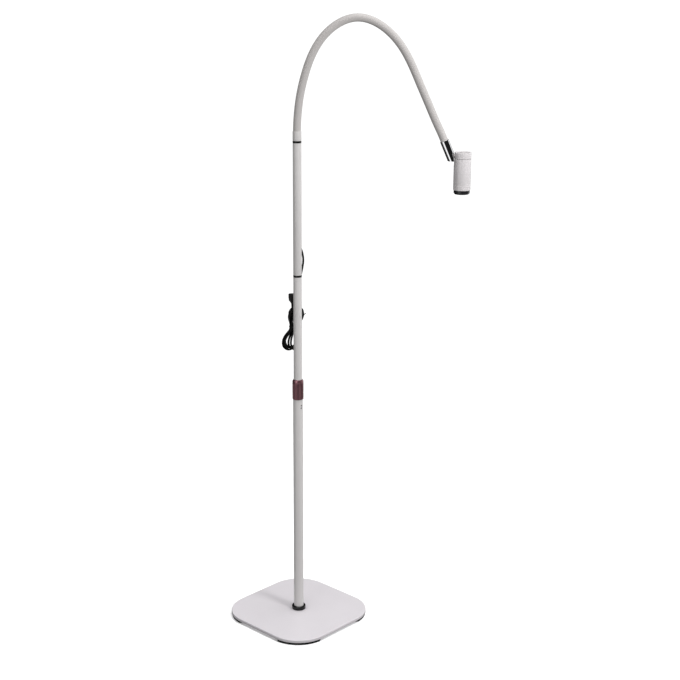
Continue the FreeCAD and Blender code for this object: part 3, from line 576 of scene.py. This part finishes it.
def flat_side(bm, z_low, z_full, z_top):
    """Cuts the flat: upright from z_top down to z_full, then sloping out to the full radius at z_low."""
    def off(prof):
        b2 = bmesh.new()
        ring = []
        for y in (-30.0, 30.0):
            ring.append([b2.verts.new((x * MM, y * MM, z * MM)) for x, z in prof])
        n2 = len(prof)
        for k in range(n2):
            k2 = (k + 1) % n2
            b2.faces.new((ring[0][k], ring[0][k2], ring[1][k2], ring[1][k]))
        b2.faces.new(ring[0])
        b2.faces.new(ring[1])
        bmesh.ops.recalc_face_normals(b2, faces=b2.faces)
        me = bpy.data.meshes.new("flat_cutter")
        b2.to_mesh(me)
        b2.free()
        return me

    cut_me = off([(HX - HR - 6, z_low), (HX - HR, z_low), (FLAT, z_full), (FLAT, z_top), (HX - HR - 6, z_top)])
    cutter = bpy.data.objects.new("flat_cutter", cut_me)
    scene.collection.objects.link(cutter)
    bmesh.ops.recalc_face_normals(bm, faces=bm.faces)
    me = bpy.data.meshes.new("flat_body")
    bm.to_mesh(me)
    body = bpy.data.objects.new("flat_body", me)
    scene.collection.objects.link(body)
    mod = body.modifiers.new("flat", "BOOLEAN")
    mod.operation = "DIFFERENCE"
    mod.solver = "EXACT"
    mod.object = cutter
    bpy.context.view_layer.update()
    done = bpy.data.meshes.new_from_object(body.evaluated_get(bpy.context.evaluated_depsgraph_get()))
    out = bmesh.new()
    out.from_mesh(done)
    for o_ in (body, cutter):
        bpy.data.objects.remove(o_)
    for m_ in (me, cut_me, done):
        bpy.data.meshes.remove(m_)
    bm.free()
    bmesh.ops.remove_doubles(out, verts=out.verts, dist=1e-7)
    return out


bm = lathe_bm(soften([
    (16.8, 1197.5), (BORE - 0.1, 1197.5, 0.15), (BORE - 0.1, 1204.5), (HR - 0.2, 1204.5, 0.15), (HR, 1204.8, 0.2), (HR, 1219.5, 1.0),
    (18.2, 1219.5, 0.3), (17.8, 1218.8, 0.2), (6.3, 1218.8, 0.15), (6.15, 1218.6), (6.15, 1216.0), (17.0, 1216.0), (17.0, 1204.5), (16.8, 1204.5)]),
    160)
bmesh.ops.translate(bm, vec=(HX * MM, 0, 0), verts=bm.verts)
bm = flat_side(bm, 1195.0, 1195.0, 1225.0)
place(finish_mesh(bm, "head_cap_finished", M["head_white"], 40), "lamp_head", "head_white", "head_cap")
HB0, HB1 = 379.1, 386.0
bm = lathe_bm(soften([(3.5, 0.0), (5.0, 0.0, 0.35), (5.0, HB1 - HB0), (3.5, HB1 - HB0)]), 64)
bmesh.ops.transform(bm, matrix=Matrix.Translation((HB0 * MM, 0, 1.210)) @ Matrix.Rotation(math.radians(90), 4, "Y"), verts=bm.verts)
place(finish_mesh(bm, "swivel_boss", M["head_white"], 40), "lamp_head", "head_white", "head_cap")
prof = [(BORE, 1127.7), (HR, 1127.7, 1.8)]
for g, w in ((1135.0, 0.6), (1141.4, 0.6), (1145.2, 0.3)):
    prof += [(HR, g - w, 0.12), (HR - 0.5, g - w / 2, 0.08), (HR - 0.5, g + w / 2, 0.08), (HR, g + w, 0.12)]
prof += [(HR, 1203.8, 0.4), (BORE, 1203.8)]
bm = lathe_bm(soften(prof), 160)
bmesh.ops.translate(bm, vec=(HX * MM, 0, 0), verts=bm.verts)
bm = flat_side(bm, 1182.0, 1200.0, 1206.0)
place(finish_mesh(bm, "head_barrel", M["head_white"], 40), "lamp_head", "head_white", "head_housing")
lathe("light_opening_bezel", [
    (14.6, 1118.0, 0.25), (17.0, 1118.0, 0.4), (19.6, 1120.6, 1.6), (19.6, 1127.5), (BORE - 0.1, 1127.5), (BORE - 0.1, 1142.0), (17.1, 1142.0),
    (17.1, 1131.0), (16.3, 1129.8), (16.3, 1123.6), (15.0, 1123.6, 0.2)], M["bezel_dark"], "lamp_head", "bezel_dark", "front_bezel", x=HX,
    segs=160, sharp=40)
lathe("top_button", [(0.0, 1214.2), (7.0, 1214.2, 0.2), (7.0, 1215.7, 0.2), (5.9, 1215.7), (5.9, 1219.6, 0.55), (4.6, 1219.6, 0.4), (4.0, 1219.25, 0.6),
                     (0.0, 1219.25)], M["button_white"], "button", "button_white", "power_button", x=HX, segs=96, sharp=45)
lens_prof = [(0.0, 1123.9), (15.7, 1123.9, 0.3), (16.1, 1124.3, 0.2), (16.1, 1127.0, 0.2)]
for i in range(1, 17):
    a = i / 16.0 * math.pi / 2
    lens_prof.append((16.1 * math.cos(a) if i < 16 else 0.0, 1127.0 + 6.5 * math.sin(a)))
lathe("lens_finished", lens_prof, M["lens_glass"], "lamp_head", "lens_glass", "lens", x=HX, segs=96, sharp=40)

# ---------------------------------------------------------------------------
# strain relief: ribbed boot, square to the way the lead leaves
# ---------------------------------------------------------------------------
EXIT = Vector((3.0, 22.5, 1000.0))
BOOT = Vector((0.145, 0.465, -0.873)).normalized()
root = EXIT - BOOT * 26.0
prof = [(2.55, -4.0), (4.0, -4.0, 0.3), (4.0, 0.0), (6.4, 0.0), (6.4, 4.0, 1.1), (5.3, 4.3, 0.5)]
z = 5.2
while z < 23.4:
    r = 5.15 - (5.15 - 3.5) * z / 26.0
    prof += [(r, z, 0.2), (r - 0.6, z + 0.35, 0.15), (r - 0.62, z + 1.35, 0.15), (r - 0.02, z + 1.7, 0.2)]
    z += 3.5
prof += [(3.45, 25.9, 0.4), (2.55, 26.0, 0.1)]
place(finish_mesh(lathe_bm(soften(prof), 48), "boot_tmp", M["black_rubber"], 40), "upper_pole", "black_rubber")
boot = bpy.data.objects["boot_tmp"]
boot.name = "lead_boot"
boot.data.name = "lead_boot"
q = Vector((0, 0, 1)).rotation_difference(BOOT)
boot.data.transform(Matrix.Translation(root * MM) @ q.to_matrix().to_4x4())
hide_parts("strain_relief")

# ---------------------------------------------------------------------------
# mains lead: one length of 5 mm cord, hanging, then six turns tied behind the pole
# ---------------------------------------------------------------------------
ROUTE = [
    (0.0030, 0.0225, 1.0000), (0.0056, 0.0308, 0.9844), (0.0122, 0.0344, 0.9670), (0.0152, 0.0330, 0.9474),
    (0.0120, 0.0296, 0.9270), (0.0070, 0.0282, 0.9060), (0.0042, 0.0286, 0.8850), (0.0046, 0.0298, 0.8650),
    (0.0052, 0.0292, 0.8465), (0.0040, 0.0284, 0.8290), (0.0048, 0.0282, 0.8166), (0.0078, 0.0285, 0.8040),
    (0.0021, 0.0266, 0.7926), (-0.0053, 0.0238, 0.7828), (-0.0091, 0.0232, 0.7705), (-0.0074, 0.0238, 0.7579),
    (-0.0042, 0.0251, 0.7457), (-0.0050, 0.0253, 0.7330), (-0.0120, 0.0241, 0.7220), (-0.0246, 0.0233, 0.7178),
    (-0.0359, 0.0230, 0.7250), (-0.0384, 0.0229, 0.7379), (-0.0352, 0.0234, 0.7503), (-0.0279, 0.0245, 0.7606),
    (-0.0192, 0.0257, 0.7700), (-0.0176, 0.0245, 0.7824), (-0.0202, 0.0206, 0.7943), (-0.0194, 0.0185, 0.8070),
    (-0.0144, 0.0202, 0.8191), (-0.0035, 0.0220, 0.8262), (0.0094, 0.0240, 0.8237), (0.0150, 0.0282, 0.8122),
    (0.0118, 0.0266, 0.7997), (0.0047, 0.0231, 0.7899), (-0.0018, 0.0221, 0.7789), (-0.0041, 0.0250, 0.7667),
    (-0.0027, 0.0278, 0.7545), (-0.0007, 0.0295, 0.7420), (-0.0046, 0.0315, 0.7298), (-0.0155, 0.0279, 0.7242),
    (-0.0272, 0.0229, 0.7258), (-0.0338, 0.0226, 0.7371), (-0.0299, 0.0224, 0.7495), (-0.0227, 0.0216, 0.7598),
    (-0.0162, 0.0206, 0.7707), (-0.0128, 0.0208, 0.7830), (-0.0150, 0.0240, 0.7952), (-0.0182, 0.0233, 0.8078),
    (-0.0194, 0.0271, 0.8205), (-0.0099, 0.0332, 0.8284), (0.0042, 0.0332, 0.8257), (0.0115, 0.0334, 0.8143),
    (0.0111, 0.0318, 0.8014), (0.0059, 0.0288, 0.7904), (0.0016, 0.0261, 0.7789), (0.0008, 0.0267, 0.7662),
    (0.0015, 0.0310, 0.7543), (0.0008, 0.0346, 0.7421), (-0.0042, 0.0363, 0.7304), (-0.0143, 0.0375, 0.7226),
    (-0.0269, 0.0344, 0.7201), (-0.0367, 0.0303, 0.7279), (-0.0375, 0.0287, 0.7409), (-0.0308, 0.0278, 0.7517),
    (-0.0213, 0.0265, 0.7601), (-0.0134, 0.0248, 0.7701), (-0.0122, 0.0259, 0.7828), (-0.0156, 0.0288, 0.7948),
    (-0.0215, 0.0333, 0.8056), (-0.0203, 0.0356, 0.8184), (-0.0089, 0.0362, 0.8250), (0.0040, 0.0376, 0.8219),
    (0.0098, 0.0391, 0.8107), (0.0057, 0.0384, 0.7985), (-0.0023, 0.0352, 0.7890), (-0.0063, 0.0326, 0.7771),
    (-0.0045, 0.0334, 0.7645), (-0.0007, 0.0369, 0.7529), (0.0021, 0.0398, 0.7409), (-0.0006, 0.0398, 0.7282),
    (-0.0106, 0.0408, 0.7193), (-0.0239, 0.0412, 0.7202), (-0.0317, 0.0372, 0.7307), (-0.0319, 0.0350, 0.7434),
    (-0.0268, 0.0334, 0.7549), (-0.0201, 0.0330, 0.7656), (-0.0166, 0.0346, 0.7776), (-0.0167, 0.0346, 0.7903),
    (-0.0177, 0.0364, 0.8027), (-0.0168, 0.0387, 0.8151), (-0.0088, 0.0419, 0.8251), (0.0046, 0.0410, 0.8265),
    (0.0137, 0.0391, 0.8167), (0.0134, 0.0370, 0.8040), (0.0074, 0.0353, 0.7929), (-0.0000, 0.0347, 0.7826),
    (-0.0021, 0.0363, 0.7702), (0.0018, 0.0388, 0.7583), (0.0060, 0.0408, 0.7465), (0.0065, 0.0410, 0.7337),
    (0.0016, 0.0386, 0.7218), (-0.0095, 0.0326, 0.7167), (-0.0214, 0.0311, 0.7232), (-0.0243, 0.0290, 0.7359),
    (-0.0215, 0.0286, 0.7483), (-0.0168, 0.0303, 0.7599), (-0.0138, 0.0304, 0.7723), (-0.0174, 0.0288, 0.7845),
    (-0.0218, 0.0268, 0.7962), (-0.0225, 0.0283, 0.8086), (-0.0144, 0.0323, 0.8188), (-0.0014, 0.0339, 0.8196),
    (0.0072, 0.0346, 0.8094), (0.0047, 0.0329, 0.7969), (-0.0013, 0.0298, 0.7859), (-0.0014, 0.0307, 0.7731),
    (0.0030, 0.0337, 0.7615), (0.0063, 0.0354, 0.7494), (0.0077, 0.0361, 0.7369), (0.0051, 0.0350, 0.7242),
    (-0.0031, 0.0275, 0.7168), (-0.0118, 0.0182, 0.7212), (-0.0177, 0.0183, 0.7332), (-0.0168, 0.0207, 0.7458),
    (-0.0135, 0.0249, 0.7573), (-0.0101, 0.0288, 0.7687), (-0.0076, 0.0292, 0.7817), (-0.0090, 0.0231, 0.7929),
    (-0.0133, 0.0208, 0.8048), (-0.0116, 0.0252, 0.8165), (-0.0113, 0.0270, 0.8290),
]
curve = bpy.data.curves.new("mains_lead", "CURVE")
curve.dimensions = "3D"
curve.bevel_depth = 0.0025
curve.bevel_resolution = 5
curve.resolution_u = 6
curve.use_fill_caps = True
sp = curve.splines.new("NURBS")
sp.points.add(len(ROUTE) - 1)
for pnt, co in zip(sp.points, ROUTE):
    pnt.co = (*co, 1.0)
sp.order_u = 3
sp.use_endpoint_u = True
curve.materials.append(M["cord_black"])
lead = bpy.data.objects.new("mains_lead", curve)
scene.collection.objects.link(lead)
place(lead, "upper_pole", "cord_black", "power_cord", "cord_hank")


# plug: moulded body, wide at its face, with grip ribs and a ribbed neck
def plug_ring(z, hx, hy, p=3.2, n=56):
    out = []
    for k in range(n):
        a = 2 * math.pi * k / n
        c, s = math.cos(a), math.sin(a)
        out.append(Vector(((-11.3 + hx * math.copysign(abs(c) ** (2 / p), c)) * MM, (27.0 + hy * math.copysign(abs(s) ** (2 / p), s)) * MM, z * MM)))
    return out


def plug_size(z):
    t = (z - 829.0) / 33.5
    u = max(0.0, min(1.0, (t - 0.12) / 0.62))
    u = u * u * (3 - 2 * u)
    return 4.2 + (11.6 - 4.2) * u, 4.0 + (8.5 - 4.0) * u


rings = []
for k in range(5):                      # neck ribs
    z0 = 829.0 + 1.9 * k
    hx, hy = plug_size(z0)
    for dz, add in ((0.0, 0.35), (0.2, 0.62), (0.95, 0.62), (1.15, 0.35), (1.2, 0.0), (1.85, 0.0)):
        rings.append(plug_ring(z0 + dz, hx - 0.1 + add, hy - 0.1 + add, 2.2 + 0.15 * k))
for k in range(1, 12):
    z0 = 838.5 + 21.4 * k / 11.0
    hx, hy = plug_size(z0)
    rings.append(plug_ring(z0, hx, hy, 2.8 + 0.07 * k))
hx, hy = plug_size(860.5)
for dz, ins in ((0.6, 0.05), (1.2, 0.3), (1.7, 0.8), (2.0, 1.5), (2.0, 2.4)):
    rings.append(plug_ring(860.5 + dz, hx - ins, hy - ins, 3.6))
plug = loft("mains_plug_body", rings, M["plug_black"], sharp=38)
place(plug, "upper_pole", "plug_black", "power_plug")
# flat seat at the back, where the blades come out
rings = []
for y, ins in ((28.0, 0.0), (31.0, 0.0), (34.4, 0.0), (35.4, 0.15), (35.9, 0.5), (36.2, 1.1), (36.2, 2.2)):
    ring = []
    for k in range(56):
        a = 2 * math.pi * k / 56
        c, s = math.cos(a), math.sin(a)
        ring.append(Vector(((-11.3 + (11.0 - ins) * math.copysign(abs(c) ** 0.5, c)) * MM, y * MM,
                            (851.75 + (9.75 - ins) * math.copysign(abs(s) ** 0.5, s)) * MM)))
    rings.append(ring)
seat = loft("plug_seat", rings, M["plug_black"], sharp=38)
place(seat, "upper_pole", "plug_black")
# grip ribs on the front face
for s in (-1,):
    bm = bmesh.new()
    for k in range(5):
        zc = 848.0 + 2.4 * k
        hx, hy = plug_size(zc)
        w, h, d = hx * 0.52, 0.55, 0.45
        y = 27.0 + s * (hy - 0.15)
        vs = []
        for (dx, dz, dy) in ((-w, -h, 0), (w, -h, 0), (w, h, 0), (-w, h, 0), (-w * 0.93, -h * 0.4, d), (w * 0.93, -h * 0.4, d), (w * 0.93, h * 0.4, d),
                             (-w * 0.93, h * 0.4, d)):
            vs.append(bm.verts.new(((-11.3 + dx) * MM, (y + s * dy) * MM, (zc + dz) * MM)))
        for f in ((0, 1, 2, 3), (4, 5, 6, 7), (0, 1, 5, 4), (1, 2, 6, 5), (2, 3, 7, 6), (3, 0, 4, 7)):
            bm.faces.new([vs[q_] for q_ in f])
    grip = finish_mesh(bm, "plug_grip_front", M["plug_black"], 50)
    place(grip, "upper_pole", "plug_black")


# tie: a flat band round the waist of the bundle and its twisted ends
def oval_path(cx, cy, a, b, n, z0, rise):
    return [Vector((cx + a * math.cos(2 * math.pi * k / n), cy + b * math.sin(2 * math.pi * k / n), z0 + rise * k / n)) for k in range(n)]


bm = bmesh.new()
sect = [(-0.45, -1.7), (0.1, -1.7), (0.4, -1.35), (0.4, 1.35), (0.1, 1.7), (-0.45, 1.7), (-0.45, 0.9), (-0.3, 0.0), (-0.45, -0.9)]
n = 72
rows = []
for k in range(n):
    a = 2 * math.pi * k / n
    c = Vector((-7.9 + 13.4 * math.cos(a), 28.2 + 10.6 * math.sin(a), 778.1 + 0.5 * math.sin(a)))
    nn = Vector((math.cos(a) / 13.4, math.sin(a) / 10.6, 0)).normalized()
    rows.append([bm.verts.new((c + nn * u + Vector((0, 0, v))) * MM) for u, v in sect])
for A, B in zip(rows, rows[1:] + rows[:1]):
    for j in range(len(sect)):
        j2 = (j + 1) % len(sect)
        bm.faces.new((A[j], A[j2], B[j2], B[j]))
tie = finish_mesh(bm, "tie_band", M["tie_black"], 45)
place(tie, "upper_pole", "tie_black", "cord_tie")

TAIL = [(-3.0, 17.2, 778.2), (1.0, 15.8, 781.0), (5.0, 15.2, 790.0), (9.5, 14.4, 803.0), (14.0, 13.6, 812.0), (20.8, 13.8, 816.3)]
for which, phase in (("a", 0.0), ("b", math.pi)):
    cv = bpy.data.curves.new("tail_line", "CURVE")
    cv.dimensions = "3D"
    cv.resolution_u = 16
    s_ = cv.splines.new("NURBS")
    s_.points.add(len(TAIL) - 1)
    for pnt, co in zip(s_.points, TAIL):
        pnt.co = (co[0] * MM, co[1] * MM, co[2] * MM, 1.0)
    s_.order_u = 3
    s_.use_endpoint_u = True
    tmp = bpy.data.objects.new("tail_tmp", cv)
    scene.collection.objects.link(tmp)
    bpy.context.view_layer.update()
    line_me = bpy.data.meshes.new_from_object(tmp.evaluated_get(bpy.context.evaluated_depsgraph_get()))
    pts = [v.co.copy() for v in line_me.vertices]
    bpy.data.objects.remove(tmp)
    bpy.data.meshes.remove(line_me)
    rings = []
    length = 0.0
    for k, p in enumerate(pts):
        t = (pts[min(k + 1, len(pts) - 1)] - pts[max(k - 1, 0)]).normalized()
        if k:
            length += (p - pts[k - 1]).length
        u = t.cross(Vector((0, 1, 0))).normalized()
        w = t.cross(u).normalized()
        ang = phase + length / 0.0065 * 2 * math.pi
        off = (u * math.cos(ang) + w * math.sin(ang)) * 0.0006
        rad = 0.00062 * (1.0 if k < len(pts) - 2 else 0.55)
        rings.append([p + off + (u * math.cos(2 * math.pi * j / 10) + w * math.sin(2 * math.pi * j / 10)) * rad for j in range(10)])
    tail = loft("tie_tail_" + which, rings, M["tie_black"], sharp=60)
    place(tail, "upper_pole", "tie_black")

# ---------------------------------------------------------------------------
# floor, light
# ---------------------------------------------------------------------------
bm = bmesh.new()
for x, y in ((-1.5, -1.5), (1.7, -1.5), (1.7, 1.9), (-1.5, 1.9)):
    bm.verts.new((x, y, -0.0004))
bm.faces.new(bm.verts)
floor_mat = shader("pale_floor", (0.95, 0.95, 0.95), 0.6, mottle=0.004, mottle_scale=2.0, fine_scale=40, specular=0.2)
fb = floor_mat.node_tree.nodes[floor_mat["bsdf"]]
fb.inputs["Emission Color"].default_value = (1, 1, 1, 1)
fb.inputs["Emission Strength"].default_value = 0.12
floor = finish_mesh(bm, "floor", floor_mat)
floor.visible_diffuse = False
floor.visible_glossy = False

world = bpy.data.worlds.new("studio")
scene.world = world
world.use_nodes = True
wn = world.node_tree.nodes
wl = world.node_tree.links
wn.clear()
wo = wn.new("ShaderNodeOutputWorld")
tc = wn.new("ShaderNodeTexCoord")
sep = wn.new("ShaderNodeSeparateXYZ")
wl.new(tc.outputs["Generated"], sep.inputs["Vector"])
# azimuth turned so that 0.5 looks straight at the camera's side and 0..1 runs from behind, by the left, front and right, to behind
at2 = wn.new("ShaderNodeMath")
at2.operation = "ARCTAN2"
neg = wn.new("ShaderNodeMath")
neg.operation = "MULTIPLY"
neg.inputs[1].default_value = -1.0
wl.new(sep.outputs["Y"], neg.inputs[0])
wl.new(sep.outputs["X"], at2.inputs[0])
wl.new(neg.outputs["Value"], at2.inputs[1])
az = wn.new("ShaderNodeMapRange")
az.inputs["From Min"].default_value = -math.pi
az.inputs["From Max"].default_value = math.pi
wl.new(at2.outputs["Value"], az.inputs["Value"])


def band(stops, name):
    r = wn.new("ShaderNodeValToRGB")
    r.label = name
    r.color_ramp.interpolation = "EASE"
    e_ = r.color_ramp.elements
    e_[0].position, e_[1].position = 0.0, 1.0
    e_[0].color = (stops[0][1],) * 3 + (1,)
    e_[1].color = (stops[-1][1],) * 3 + (1,)
    for deg, val in stops[1:-1]:
        q_ = e_.new((deg + 180.0) / 360.0)
        q_.color = (val, val, val, 1)
    wl.new(az.outputs["Result"], r.inputs["Fac"])
    return r


# what polished parts see: soft boxes at the left front and at the right, dark studio between and behind
gloss = band([(-180, 0.02), (-66, 0.02), (-62, 1.3), (-29, 1.3), (-24, 0.015), (98, 0.015), (103, 1.3), (130, 1.3), (134, 0.03), (180, 0.02)], "gloss")
# what matt parts see: lighter on the right
matt = band([(-180, 0.40), (-90, 0.42), (0, 0.42), (90, 0.60), (140, 0.58), (180, 0.40)], "matt")
soft_bg = wn.new("ShaderNodeBackground")
soft_bg.inputs["Strength"].default_value = 1.0
wl.new(matt.outputs["Color"], soft_bg.inputs["Color"])
gloss_bg = wn.new("ShaderNodeBackground")
gloss_bg.inputs["Strength"].default_value = 1.0
wl.new(gloss.outputs["Color"], gloss_bg.inputs["Color"])
cam_bg = wn.new("ShaderNodeBackground")
cam_bg.inputs["Color"].default_value = (1, 1, 1, 1)
cam_bg.inputs["Strength"].default_value = 1.1
lp = wn.new("ShaderNodeLightPath")
mix1 = wn.new("ShaderNodeMixShader")
mix2 = wn.new("ShaderNodeMixShader")
wl.new(lp.outputs["Is Glossy Ray"], mix1.inputs[0])
wl.new(soft_bg.outputs[0], mix1.inputs[1])
wl.new(gloss_bg.outputs[0], mix1.inputs[2])
wl.new(lp.outputs["Is Camera Ray"], mix2.inputs[0])
wl.new(mix1.outputs[0], mix2.inputs[1])
wl.new(cam_bg.outputs[0], mix2.inputs[2])
wl.new(mix2.outputs[0], wo.inputs["Surface"])


def area(name, loc, target, size, size_y, power, color=(1, 1, 1)):
    d = bpy.data.lights.new(name, "AREA")
    d.shape = "RECTANGLE"
    d.size, d.size_y = size, size_y
    d.energy = power
    d.color = color
    o = bpy.data.objects.new(name, d)
    scene.collection.objects.link(o)
    o.location = loc
    o.rotation_euler = (Vector(target) - Vector(loc)).to_track_quat("-Z", "Y").to_euler()
    o.visible_glossy = False            # polished parts show the soft boxes of the world only
    return o


def sun(name, strength, soft, azimuth, elevation):
    """azimuth in degrees from the camera's side towards the right; elevation above the floor."""
    d = bpy.data.lights.new(name, "SUN")
    d.energy = strength
    d.angle = math.radians(soft)
    o = bpy.data.objects.new(name, d)
    a_, e_ = math.radians(azimuth), math.radians(elevation)
    to_light = Vector((math.sin(a_) * math.cos(e_), -math.cos(a_) * math.cos(e_), math.sin(e_)))
    o.rotation_euler = (-to_light).to_track_quat("-Z", "Y").to_euler()
    scene.collection.objects.link(o)
    return o


sun("overhead", 1.9, 30, 60, 84)
area("key", (1.75, -1.55, 2.05), (0.05, 0.0, 1.25), 0.6, 0.6, 38.0)
sun("fill", 0.30, 16, -31, 30)

scene.view_settings.view_transform = "Standard"
scene.view_settings.look = "None"
